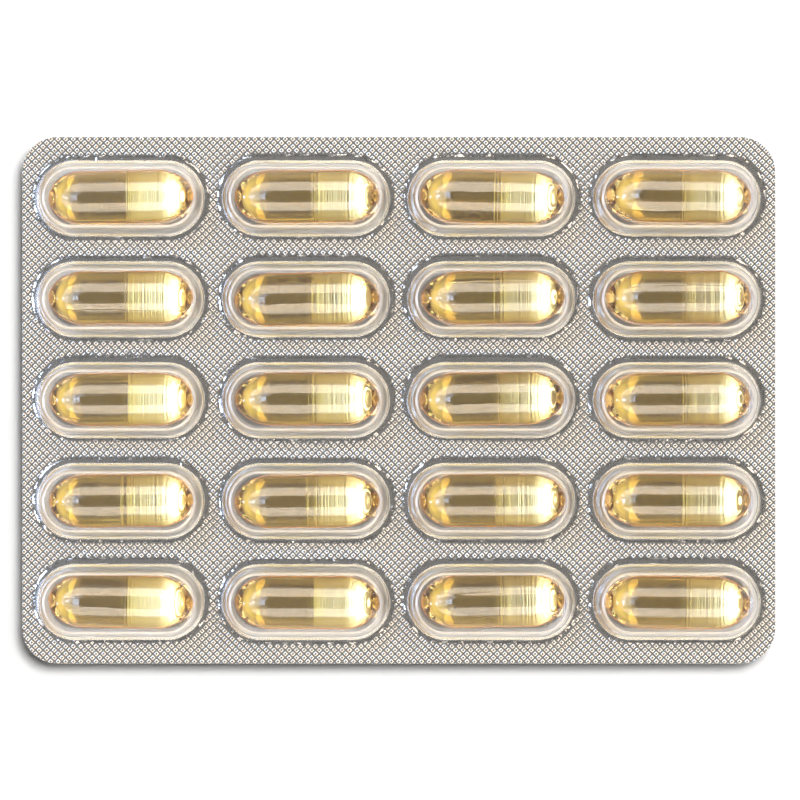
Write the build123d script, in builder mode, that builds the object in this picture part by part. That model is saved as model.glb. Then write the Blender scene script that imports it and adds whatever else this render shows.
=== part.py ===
from build123d import *

import os
from math import radians, tan

# Blister pack: a clear thermoformed film with twenty pockets, a lidding foil sealed under
# it, and one oblong soft gelatin capsule lying in each pocket.
#
# The pack lies on its foil. The origin is the centre of the foil's underside, X runs along
# the long side of the card, Y along its short side, and the pockets stand up along +Z.
# All sizes are in millimetres.

# Soft gelatin capsule, oblong, for one gram of oil
capsule_length = 24.6
capsule_diameter = 9.0
capsule_end_extra = 1.5  # how much longer each rounded end is than half a ball

# Pockets, one for each capsule
pocket_columns = 4
pocket_rows = 5
pocket_wall = 0.2  # the film thins as it is drawn into the pocket
draft_angle = 3.5
side_clearance = 0.77  # capsule to pocket wall, at the crown
end_clearance = 0.77
head_clearance = 0.45
crown_radius = 0.8  # outside, where the wall turns into the flat crown
foot_radius = 0.5  # outside, where the wall turns out into the flange

# Card
film_thickness = 0.25
foil_thickness = 0.03
card_corner_radius = 6.0
column_web = 3.8  # land between the feet of neighbouring pockets, along X
row_web = 5.05
end_margin = 2.9  # land between the outer pockets and the edge of the card, along X
side_margin = 4.4

# A capsule rests on the foil with no more than a hair of air under it
seat_gap = 0.02

# Worked-out sizes
capsule_radius = capsule_diameter / 2
capsule_end_length = capsule_radius + capsule_end_extra
pocket_depth = seat_gap + capsule_diameter + head_clearance
draft_growth = 2 * pocket_depth * tan(radians(draft_angle))
mouth_length = capsule_length + 2 * end_clearance + draft_growth
mouth_width = capsule_diameter + 2 * side_clearance + draft_growth
foot_length = mouth_length + 2 * pocket_wall
foot_width = mouth_width + 2 * pocket_wall
column_pitch = foot_length + column_web
row_pitch = foot_width + row_web
card_length = (pocket_columns - 1) * column_pitch + foot_length + 2 * end_margin
card_width = (pocket_rows - 1) * row_pitch + foot_width + 2 * side_margin

seal_plane = Plane.XY.offset(foil_thickness)  # where film and foil are sealed together


def card_outline():
    """The rounded outline that the film and the foil are cut to together."""
    return RectangleRounded(card_length, card_width, card_corner_radius)


def pocket_grid():
    """The centres of all the pockets."""
    return GridLocations(column_pitch, row_pitch, pocket_columns, pocket_rows)


def drafted_pocket(length, width, height, radius):
    """A pocket-shaped solid standing on the seal plane: a slot with drafted walls and a rounded crown."""
    with BuildPart() as pocket:
        with BuildSketch(seal_plane):
            SlotOverall(length, width)
        extrude(amount=height, taper=draft_angle)
        fillet(pocket.faces().sort_by(Axis.Z)[-1].edges(), radius=radius)
    return pocket.part


def rim_edges(face):
    """The edges round every pocket on one side of the flange."""
    return [edge for wire in face.inner_wires() for edge in wire.edges()]


# Forming film: a flat flange with the pockets drawn up out of it
pocket_outside = drafted_pocket(foot_length, foot_width, pocket_depth + pocket_wall, crown_radius)
pocket_inside = drafted_pocket(mouth_length, mouth_width, pocket_depth, crown_radius - pocket_wall)

with BuildPart() as forming_film:
    with BuildSketch(seal_plane):
        card_outline()
    extrude(amount=film_thickness)
    with pocket_grid():
        add(pocket_outside)
    flange_top = forming_film.faces().filter_by(Plane.XY).group_by(Axis.Z)[1][0]
    fillet(rim_edges(flange_top), radius=foot_radius)

    with pocket_grid():
        add(pocket_inside, mode=Mode.SUBTRACT)
    flange_underside = forming_film.faces().filter_by(Plane.XY).group_by(Axis.Z)[0][0]
    fillet(rim_edges(flange_underside), radius=foot_radius + film_thickness)

forming_film.part.label = "forming_film"


# Lidding foil: flat, cut flush with the film
with BuildPart() as lidding_foil:
    with BuildSketch(Plane.XY):
        card_outline()
    extrude(amount=foil_thickness)

lidding_foil.part.label = "lidding_foil"


# Capsule: a straight body with an elliptical end each side, lying along X
capsule_axis_height = foil_thickness + seat_gap + capsule_radius
capsule_plane = Plane.XZ.shift_origin((0, 0, capsule_axis_height))
capsule_axis = Axis((0, 0, capsule_axis_height), (1, 0, 0))
body_half_length = capsule_length / 2 - capsule_end_length
left_centre = (-body_half_length, 0)
right_centre = (body_half_length, 0)

with BuildPart() as capsule:
    with BuildSketch(capsule_plane):
        with BuildLine():
            left_end = EllipticalCenterArc(left_centre, capsule_end_length, capsule_radius, start_angle=90)
            right_end = EllipticalCenterArc(right_centre, capsule_end_length, capsule_radius)
            Line(right_end @ 1, left_end @ 0)
            Line(left_end @ 1, right_end @ 0)
        make_face()
    revolve(axis=capsule_axis)


def capsule_in_pocket(row, column):
    """The capsule of one pocket, named by its row and column from the top left."""
    x = (column - (pocket_columns - 1) / 2) * column_pitch
    y = ((pocket_rows - 1) / 2 - row) * row_pitch
    placed = capsule.part.moved(Location((x, y, 0)))
    placed.label = f"capsule_row{row + 1}_col{column + 1}"
    return placed


pieces = [forming_film.part, lidding_foil.part]
for row in range(pocket_rows):
    for column in range(pocket_columns):
        pieces.append(capsule_in_pocket(row, column))

os.makedirs("parts", exist_ok=True)
for piece in pieces:
    export_step(piece, f"parts/{piece.label}.step")

print(f"card {card_length:.2f} x {card_width:.2f}, pitch {column_pitch:.2f} x {row_pitch:.2f}")
print(f"mouth {mouth_length:.2f} x {mouth_width:.2f}, {len(pieces)} pieces")
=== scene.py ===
import logging
import math
import random
from dataclasses import dataclass
from enum import Enum
from typing import Iterator

import bpy
import numpy as np
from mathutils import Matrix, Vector, noise
from mathutils.geometry import delaunay_2d_cdt


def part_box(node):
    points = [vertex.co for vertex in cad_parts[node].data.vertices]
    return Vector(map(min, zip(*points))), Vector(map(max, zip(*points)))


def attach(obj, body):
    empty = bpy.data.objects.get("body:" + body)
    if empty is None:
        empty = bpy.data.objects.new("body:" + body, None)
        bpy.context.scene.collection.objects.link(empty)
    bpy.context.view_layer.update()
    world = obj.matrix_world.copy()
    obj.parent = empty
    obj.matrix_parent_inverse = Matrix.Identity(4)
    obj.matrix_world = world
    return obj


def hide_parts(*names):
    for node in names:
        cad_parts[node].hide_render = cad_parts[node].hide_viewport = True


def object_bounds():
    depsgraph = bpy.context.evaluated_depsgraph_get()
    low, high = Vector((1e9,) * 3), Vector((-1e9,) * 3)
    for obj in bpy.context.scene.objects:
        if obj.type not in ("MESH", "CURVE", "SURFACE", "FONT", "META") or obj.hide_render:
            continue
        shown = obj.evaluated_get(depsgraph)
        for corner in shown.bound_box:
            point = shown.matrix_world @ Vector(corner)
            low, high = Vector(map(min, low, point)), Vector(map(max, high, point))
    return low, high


# Looks of a blister pack: a clear thermoformed film, twenty golden soft capsules in its
# pockets, and an embossed aluminium foil sealed under it. The pack's sizes are in millimetres
# and MM turns them to metres. Lamps and camera are placed in metres.

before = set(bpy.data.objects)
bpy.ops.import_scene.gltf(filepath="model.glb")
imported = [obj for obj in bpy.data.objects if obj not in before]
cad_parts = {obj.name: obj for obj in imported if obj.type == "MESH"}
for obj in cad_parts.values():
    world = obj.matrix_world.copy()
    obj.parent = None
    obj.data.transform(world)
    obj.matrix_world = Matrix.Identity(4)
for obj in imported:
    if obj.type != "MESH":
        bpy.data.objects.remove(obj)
CAD_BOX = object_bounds()

MM = 0.001
LOG = logging.getLogger("blister_pack")

Tree = bpy.types.NodeTree
Socket = bpy.types.NodeSocket

# How the pockets are set out, and the sizes of the CAD that no box in the frame gives.
ROWS, COLUMNS = 5, 4
CORNER_RADIUS = 6.0
FOOT_LENGTH, FOOT_WIDTH = 27.70, 12.10


class MaterialSlot(Enum):
    """The record's material slots."""

    CLEAR_FILM = "clear_film"
    LIDDING_FOIL = "lidding_foil"
    SOFTGEL = "softgel"


def linear_colour(code: str) -> tuple[float, float, float, float]:
    """Turns an sRGB hex colour to linear RGBA.

    Args:
        code: Six hex digits after a hash sign.

    Returns:
        Red, green, blue and alpha, each from 0 to 1.
    """
    channels = [int(code[k:k + 2], 16) / 255 for k in (1, 3, 5)]
    linear = [c / 12.92 if c <= 0.04045 else ((c + 0.055) / 1.055) ** 2.4 for c in channels]
    return linear[0], linear[1], linear[2], 1.0


def add_node(tree: Tree, kind: str, inputs: dict | None = None, **settings) -> bpy.types.Node:
    """Adds one node with its settings and links.

    Args:
        tree: The node tree that gets the node.
        kind: Blender's name for the node's type.
        inputs: A constant, or an output socket to link, for each input by name or number.
        **settings: The node's own properties.

    Returns:
        The new node.
    """
    node = tree.nodes.new(kind)
    for name, value in settings.items():
        setattr(node, name, value)
    for key, value in (inputs or {}).items():
        if isinstance(value, Socket):
            tree.links.new(value, node.inputs[key])
        else:
            node.inputs[key].default_value = value
    return node


def new_material(name: str) -> tuple[bpy.types.Material, Tree]:
    """Makes an empty node material.

    Args:
        name: The material's name.

    Returns:
        The material and its node tree.
    """
    material = bpy.data.materials.new(name)
    material.use_nodes = True
    material.node_tree.nodes.clear()
    return material, material.node_tree


def smooth_step(value: np.ndarray, low: float, high: float) -> np.ndarray:
    """Rises smoothly from 0 where value is low to 1 where it is high.

    Args:
        value: The values to map.
        low: Where the rise starts.
        high: Where the rise ends.

    Returns:
        The mapped values, from 0 to 1.
    """
    t = np.clip((value - low) / (high - low), 0.0, 1.0)
    return t * t * (3.0 - 2.0 * t)


def noise_at(points: np.ndarray, size: float, seed: int) -> np.ndarray:
    """Smooth noise at each point.

    Args:
        points: Points in millimetres, one to a row.
        size: The width of one swell, in millimetres.
        seed: Picks another part of the noise.

    Returns:
        One value for each point, from about -1 to 1.
    """
    shift = 17.3 * seed
    places = (Vector((x / size + shift, y / size - shift, z / size)) for x, y, z in points)
    return np.array([noise.noise(place) for place in places])


def flat_area(points: np.ndarray, triangles: np.ndarray) -> np.ndarray:
    """Measures triangles as seen from above.

    Args:
        points: The points, one to a row.
        triangles: Three point numbers for each triangle.

    Returns:
        Twice each triangle's area, negative where it runs clockwise.
    """
    a, b, c = (points[triangles[:, k], :2] for k in range(3))
    return (b[:, 0] - a[:, 0]) * (c[:, 1] - a[:, 1]) - (b[:, 1] - a[:, 1]) * (c[:, 0] - a[:, 0])


def make_piece(
    name: str, points: np.ndarray, faces: list[tuple[int, ...]], sharp_degrees: float,
) -> bpy.types.Object:
    """Makes a mesh object from points in millimetres.

    Args:
        name: The object's name.
        points: The vertices, one to a row.
        faces: The faces, as vertex numbers.
        sharp_degrees: Edges that turn more than this are shaded sharp.

    Returns:
        The new object, linked to the scene.
    """
    mesh = bpy.data.meshes.new(name)
    mesh.from_pydata((points * MM).tolist(), [], faces)
    mesh.validate()
    mesh.shade_smooth()
    mesh.set_sharp_from_angle(angle=math.radians(sharp_degrees))
    piece = bpy.data.objects.new(name, mesh)
    bpy.context.scene.collection.objects.link(piece)
    return piece


def mount_piece(
    piece: bpy.types.Object, material: bpy.types.Material, slot: MaterialSlot, node: str,
) -> None:
    """Dresses a piece and puts it in the frame in the place of a CAD node.

    Args:
        piece: The new piece.
        material: Its material.
        slot: The record's slot that it takes its finish from. Not used.
        node: The CAD node that it stands for.
    """
    piece.data.materials.append(material)
    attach(piece, "root")
    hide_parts(node)
    LOG.info("%s: %d faces, for node %s", piece.name, len(piece.data.polygons), node)


@dataclass(frozen=True)
class Slot:
    """An outline of two half circles joined by straight sides, its long axis along X."""

    half_straight: float
    radius: float

    def distance(self, x: np.ndarray, y: np.ndarray) -> np.ndarray:
        """How far points lie outside the outline; negative inside it."""
        return np.hypot(np.maximum(np.abs(x) - self.half_straight, 0.0), y) - self.radius

    def spine(self, straight_steps: int, arc_steps: int) -> np.ndarray:
        """Walks once round the outline, counter-clockwise from the lower right.

        Args:
            straight_steps: Steps along each straight side.
            arc_steps: Steps round each end.

        Returns:
            For each step, the X of the point on the long axis and the outward normal's X and Y.
        """
        a = self.half_straight
        turns = np.linspace(-math.pi / 2, math.pi / 2, arc_steps + 1)
        side = np.linspace(a, -a, straight_steps + 1)[1:-1]
        right = [(a, math.cos(t), math.sin(t)) for t in turns]
        top = [(x, 0.0, 1.0) for x in side]
        left = [(-a, -math.cos(t), -math.sin(t)) for t in turns]
        bottom = [(-x, 0.0, -1.0) for x in side]
        return np.array(right + top + left + bottom)


@dataclass(frozen=True)
class CardOutline:
    """The card's outline, a rectangle with rounded corners."""

    half_length: float
    half_width: float
    corner_radius: float

    def distance(self, x: np.ndarray, y: np.ndarray) -> np.ndarray:
        """How far points lie outside the outline; negative inside it."""
        dx = np.abs(x) - (self.half_length - self.corner_radius)
        dy = np.abs(y) - (self.half_width - self.corner_radius)
        outside = np.hypot(np.maximum(dx, 0.0), np.maximum(dy, 0.0))
        inside = np.minimum(np.maximum(dx, dy), 0.0)
        return outside + inside - self.corner_radius

    def loop(self, step: float) -> np.ndarray:
        """Points round the outline, counter-clockwise.

        Args:
            step: About how far apart the points lie.

        Returns:
            The points, one to a row.
        """
        r = self.corner_radius
        x, y = self.half_length - r, self.half_width - r
        arc_steps = max(6, round(r * math.pi / 2 / step))
        corners = (((x, y), 2 * x), ((-x, y), 2 * y), ((-x, -y), 2 * x), ((x, -y), 2 * y))
        points: list[tuple[float, float]] = []
        for k, ((corner_x, corner_y), side) in enumerate(corners):
            turns = np.linspace(k * math.pi / 2, (k + 1) * math.pi / 2, arc_steps + 1)
            points += [(corner_x + r * math.cos(t), corner_y + r * math.sin(t)) for t in turns]
            start_x, start_y = points[-1]
            ahead_x, ahead_y = -math.sin(turns[-1]), math.cos(turns[-1])
            count = max(1, round(side / step))
            steps = [side * j / count for j in range(1, count)]
            points += [(start_x + ahead_x * s, start_y + ahead_y * s) for s in steps]
        return np.array(points)


@dataclass(frozen=True)
class PocketLayout:
    """Where the pockets stand, read from the capsules' nodes, and the card's outline."""

    outline: CardOutline
    centres: dict[tuple[int, int], tuple[float, float]]
    foot: Slot

    @classmethod
    def from_frame(cls) -> "PocketLayout":
        """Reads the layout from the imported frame."""
        _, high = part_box("lidding_foil")
        outline = CardOutline(high.x / MM, high.y / MM, CORNER_RADIUS)
        centres = {}
        for row in range(1, ROWS + 1):
            for column in range(1, COLUMNS + 1):
                a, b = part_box(f"capsule_row{row}_col{column}")
                centres[row, column] = ((a.x + b.x) / 2 / MM, (a.y + b.y) / 2 / MM)
        return cls(outline, centres, Slot((FOOT_LENGTH - FOOT_WIDTH) / 2, FOOT_WIDTH / 2))

    def pitches(self) -> tuple[float, float]:
        """How far apart the columns and the rows stand."""
        return self.centres[1, 2][0] - self.centres[1, 1][0], self.centres[1, 1][1] - self.centres[2, 1][1]


@dataclass(frozen=True)
class PocketGrid:
    """The pockets' even grid, for materials that differ from one end of a pocket to the other."""

    column_pitch: float
    row_pitch: float
    half_straight: float
    half_start: tuple[float, float] = (2.8, 5.2)
    half_end: tuple[float, float] = (12.0, 12.8)
    ragged_reach: float = 6.0
    ragged_width: float = 0.4

    def from_middle(self, tree: Tree, place: Socket) -> tuple[Socket, Socket]:
        """Measures from the middle of the nearest pocket.

        Args:
            tree: The material's node tree.
            place: The object's own coordinates.

        Returns:
            The distance along the pocket, positive to the right, and the distance off its long
            axis, both in metres.
        """
        parts = add_node(tree, "ShaderNodeSeparateXYZ", {"Vector": place})
        half_x, half_y = self.column_pitch / 2 * MM, self.row_pitch / 2 * MM
        shifted = add_node(tree, "ShaderNodeMath", {0: parts.outputs["X"], 1: half_x}, operation="SUBTRACT")
        along = add_node(tree, "ShaderNodeMath", {
            0: shifted.outputs[0], 1: half_x, 2: -half_x,
        }, operation="WRAP")
        across = add_node(tree, "ShaderNodeMath", {
            0: parts.outputs["Y"], 1: half_y, 2: -half_y,
        }, operation="WRAP")
        off = add_node(tree, "ShaderNodeMath", {0: across.outputs[0]}, operation="ABSOLUTE")
        return along.outputs[0], off.outputs[0]

    def from_spine(self, tree: Tree, place: Socket) -> Socket:
        """Measures from the spine of the nearest pocket, the line that its outline is rounded about.

        Args:
            tree: The material's node tree.
            place: The object's own coordinates.

        Returns:
            The distance in metres.
        """
        along, off = self.from_middle(tree, place)
        either = add_node(tree, "ShaderNodeMath", {0: along}, operation="ABSOLUTE")
        past = add_node(tree, "ShaderNodeMath", {
            0: either.outputs[0], 1: self.half_straight * MM,
        }, operation="SUBTRACT")
        beyond = add_node(tree, "ShaderNodeMath", {0: past.outputs[0], 1: 0.0}, operation="MAXIMUM")
        both = add_node(tree, "ShaderNodeCombineXYZ", {"X": beyond.outputs[0], "Y": off})
        length = add_node(tree, "ShaderNodeVectorMath", {0: both.outputs[0]}, operation="LENGTH")
        return length.outputs["Value"]

    def right_half(self, tree: Tree, place: Socket, reach: float) -> Socket:
        """Marks the right half of each pocket.

        Fine lines carry the start of the mark to and fro, so that it shows as a few streaks
        and not as one edge.

        Args:
            tree: The material's node tree.
            place: The object's own coordinates.
            reach: How far off the pocket's long axis the mark reaches, in millimetres.

        Returns:
            1 in the right half, near the long axis, and 0 elsewhere.
        """
        along, off = self.from_middle(tree, place)
        ragged = add_node(tree, "ShaderNodeMath", {
            0: drawn_lines(tree, place, self.ragged_width, 30.0), 1: self.ragged_reach * MM, 2: along,
        }, operation="MULTIPLY_ADD")
        right = add_node(tree, "ShaderNodeMapRange", {
            "Value": ragged.outputs[0],
            "From Min": self.half_start[0] * MM, "From Max": self.half_start[1] * MM,
        }, interpolation_type="SMOOTHSTEP")
        near = add_node(tree, "ShaderNodeMapRange", {
            "Value": off, "From Min": reach * MM, "From Max": 1.2 * reach * MM,
            "To Min": 1.0, "To Max": 0.0,
        })
        short_of_tip = add_node(tree, "ShaderNodeMapRange", {
            "Value": along, "From Min": self.half_end[0] * MM, "From Max": self.half_end[1] * MM,
            "To Min": 1.0, "To Max": 0.0,
        })
        marked = right.outputs[0]
        for limit in (near, short_of_tip):
            marked = add_node(tree, "ShaderNodeMath", {
                0: marked, 1: limit.outputs[0],
            }, operation="MULTIPLY").outputs[0]
        return marked


def drawn_lines(tree: Tree, place: Socket, width: float, length: float) -> Socket:
    """Draws noise out along Y into lines of one width.

    Args:
        tree: The material's node tree.
        place: The object's own coordinates.
        width: The width of a line, in millimetres.
        length: The length of a line, in millimetres.

    Returns:
        The height of the lines, from 0 to 1.
    """
    long = 1 / (length * MM)
    drawn = add_node(tree, "ShaderNodeMapping", {"Vector": place, "Scale": (1 / (width * MM), long, long)})
    noise_node = add_node(tree, "ShaderNodeTexNoise", {
        "Vector": drawn.outputs["Vector"], "Scale": 1.0, "Detail": 1.0, "Roughness": 0.5,
    })
    return noise_node.outputs["Fac"]


@dataclass(frozen=True)
class RolledFoil:
    """Hard aluminium foil, rolled bright and pressed by a knurled sealing plate.

    Rolling leaves fine lines across the card, which show as faint upright streaks. The free
    foil mirrors the room almost sharply. Under the right half of each capsule it is scuffed
    along the same lines and lifts a little towards the end, so that half glows through the
    capsule. It is duller where the film's foot stands on it, and creased in the ring round
    that. The real lines are a few hundredths of a millimetre wide. They are drawn about ten
    times as wide, so that they show.
    """

    grid: PocketGrid
    colour: str = "#E9E8E6"
    roughness: float = 0.06
    scuff_roughness: float = 0.36
    foot_roughness: float = 0.22
    scuff_grain: float = 0.9
    streak_width: float = 0.45
    streak_length: float = 40.0
    streak_depth: float = 0.003
    scuff_width: float = 0.22
    scuff_depth: float = 0.06
    scuff_reach: float = 2.2
    lift_degrees: float = 5.0
    lift_length: float = 12.0
    crease_width: float = 1.7
    crease_length: float = 6.0
    crease_depth: float = 0.025
    cockle_width: float = 12.0
    cockle_depth: float = 0.04

    def material(self) -> bpy.types.Material:
        """Builds the material."""
        material, tree = new_material("aluminium_foil_rolled_bright")
        place = add_node(tree, "ShaderNodeTexCoord").outputs["Object"]
        rolled = drawn_lines(tree, place, self.streak_width, self.streak_length)
        scuffed = self.grid.right_half(tree, place, self.scuff_reach)
        distance = self.grid.from_spine(tree, place)
        grain = add_node(tree, "ShaderNodeMath", {0: scuffed, 1: self.scuff_grain}, operation="MULTIPLY")
        across_card = add_node(tree, "ShaderNodeVectorTransform", {
            "Vector": (0.0, 1.0, 0.0),
        }, vector_type="VECTOR", convert_from="OBJECT", convert_to="WORLD")
        surface = add_node(tree, "ShaderNodeBsdfPrincipled", {
            "Base Color": linear_colour(self.colour), "Metallic": 1.0,
            "Roughness": self.dullness(tree, rolled, scuffed, distance),
            "Normal": self.relief(tree, place, rolled, scuffed, distance),
            "Anisotropic": grain.outputs[0], "Tangent": across_card.outputs["Vector"],
        })
        add_node(tree, "ShaderNodeOutputMaterial", {"Surface": surface.outputs["BSDF"]})
        return material

    def dullness(self, tree: Tree, rolled: Socket, scuffed: Socket, distance: Socket) -> Socket:
        """Gives the foil's roughness: bright when rolled, dull when scuffed or under the film's foot.

        Args:
            tree: The material's node tree.
            rolled: The height of the rolling lines.
            scuffed: 1 where the foil is scuffed.
            distance: How far the place lies from the pocket's spine.

        Returns:
            The roughness.
        """
        bright = add_node(tree, "ShaderNodeMapRange", {
            "Value": rolled, "From Min": 0.3, "From Max": 0.7,
            "To Min": self.roughness * 0.8, "To Max": self.roughness * 1.2,
        })
        worn = add_node(tree, "ShaderNodeMapRange", {
            "Value": scuffed, "To Min": bright.outputs["Result"], "To Max": self.scuff_roughness,
        })
        foot = add_node(tree, "ShaderNodeMapRange", {
            "Value": distance, "From Min": 5.9 * MM, "From Max": 6.1 * MM,
            "To Min": self.foot_roughness, "To Max": worn.outputs["Result"],
        })
        inside = add_node(tree, "ShaderNodeMapRange", {
            "Value": distance, "From Min": 4.2 * MM, "From Max": 4.6 * MM,
            "To Min": worn.outputs["Result"], "To Max": foot.outputs["Result"],
        })
        return inside.outputs["Result"]

    def relief(
        self, tree: Tree, place: Socket, rolled: Socket, scuffed: Socket, distance: Socket,
    ) -> Socket:
        """Bumps the foil with rolling lines, scuffs, creases, its lift and its slow cockles.

        Args:
            tree: The material's node tree.
            place: The object's own coordinates.
            rolled: The height of the rolling lines.
            scuffed: 1 where the foil is scuffed.
            distance: How far the place lies from the pocket's spine.

        Returns:
            The normal.
        """
        rolled_bump = add_node(tree, "ShaderNodeBump", {
            "Height": rolled, "Distance": self.streak_depth * MM, "Strength": 1.0,
        })
        scuff_bump = add_node(tree, "ShaderNodeBump", {
            "Height": drawn_lines(tree, place, self.scuff_width, self.streak_length),
            "Distance": self.scuff_depth * MM, "Strength": scuffed, "Normal": rolled_bump.outputs["Normal"],
        })
        off_foot = add_node(tree, "ShaderNodeMapRange", {
            "Value": distance, "From Min": 5.9 * MM, "From Max": 6.1 * MM,
        })
        ring = add_node(tree, "ShaderNodeMapRange", {
            "Value": distance, "From Min": 6.9 * MM, "From Max": 7.2 * MM,
            "To Min": off_foot.outputs["Result"], "To Max": 0.0,
        })
        creases = add_node(tree, "ShaderNodeMapRange", {
            "Value": drawn_lines(tree, place, self.crease_width, self.crease_length),
            "From Min": 0.52, "From Max": 0.75,
        }, interpolation_type="SMOOTHSTEP")
        crease_bump = add_node(tree, "ShaderNodeBump", {
            "Height": creases.outputs["Result"], "Distance": self.crease_depth * MM,
            "Strength": ring.outputs["Result"], "Normal": scuff_bump.outputs["Normal"],
        })
        lift_bump = add_node(tree, "ShaderNodeBump", {
            "Height": self.lift(tree, place), "Distance": 1.0 * MM, "Strength": scuffed,
            "Normal": crease_bump.outputs["Normal"],
        })
        cockles = add_node(tree, "ShaderNodeTexNoise", {
            "Vector": place, "Scale": 1 / (self.cockle_width * MM), "Detail": 1.0,
        })
        bump = add_node(tree, "ShaderNodeBump", {
            "Height": cockles.outputs["Fac"], "Distance": self.cockle_depth * MM, "Strength": 1.0,
            "Normal": lift_bump.outputs["Normal"],
        })
        return bump.outputs["Normal"]

    def lift(self, tree: Tree, place: Socket) -> Socket:
        """Raises the foil towards the right end of each pocket, ever more steeply.

        Args:
            tree: The material's node tree.
            place: The object's own coordinates.

        Returns:
            The height, in millimetres.
        """
        along, _ = self.grid.from_middle(tree, place)
        share = add_node(tree, "ShaderNodeMapRange", {
            "Value": along, "From Min": 0.0, "From Max": self.lift_length * MM,
        })
        curve = add_node(tree, "ShaderNodeMath", {0: share.outputs["Result"], 1: 1.5}, operation="POWER")
        height = add_node(tree, "ShaderNodeMath", {
            0: curve.outputs[0], 1: self.lift_length * math.tan(math.radians(self.lift_degrees)),
        }, operation="MULTIPLY")
        return height.outputs[0]


@dataclass(frozen=True)
class FoilBack:
    """The foil's matte underside, where the sealing plate's diamonds show through faintly.

    The side that faces the other sheet in the rolling mill comes out matte, so it mirrors
    nothing and only glows. The diamonds are a bump here, with the plate's own pitch.
    """

    grid: PocketGrid
    pitch: float
    depth: float
    colour: str = "#DEDDDB"
    roughness: float = 0.42

    def material(self) -> bpy.types.Material:
        """Builds the material."""
        material, tree = new_material("aluminium_foil_rolled_matte")
        place = add_node(tree, "ShaderNodeTexCoord").outputs["Object"]
        cells = 1 / (self.pitch * MM)
        slanted = add_node(tree, "ShaderNodeMapping", {
            "Vector": place, "Rotation": (0.0, 0.0, math.radians(-45)), "Scale": (cells, cells, cells),
        })
        parts = add_node(tree, "ShaderNodeSeparateXYZ", {"Vector": slanted.outputs["Vector"]})
        slopes = [
            add_node(tree, "ShaderNodeMath", {0: parts.outputs[axis], 1: 0.5}, operation="PINGPONG")
            for axis in ("X", "Y")
        ]
        diamonds = add_node(tree, "ShaderNodeMath", {
            0: slopes[0].outputs[0], 1: slopes[1].outputs[0],
        }, operation="MINIMUM")
        sealed = add_node(tree, "ShaderNodeMapRange", {
            "Value": self.grid.from_spine(tree, place), "From Min": 7.1 * MM, "From Max": 7.3 * MM,
        })
        bump = add_node(tree, "ShaderNodeBump", {
            "Height": diamonds.outputs[0], "Distance": self.depth * MM,
            "Strength": sealed.outputs["Result"],
        }, invert=True)
        surface = add_node(tree, "ShaderNodeBsdfPrincipled", {
            "Base Color": linear_colour(self.colour), "Metallic": 1.0, "Roughness": self.roughness,
            "Normal": bump.outputs["Normal"],
        })
        add_node(tree, "ShaderNodeOutputMaterial", {"Surface": surface.outputs["BSDF"]})
        return material


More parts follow.
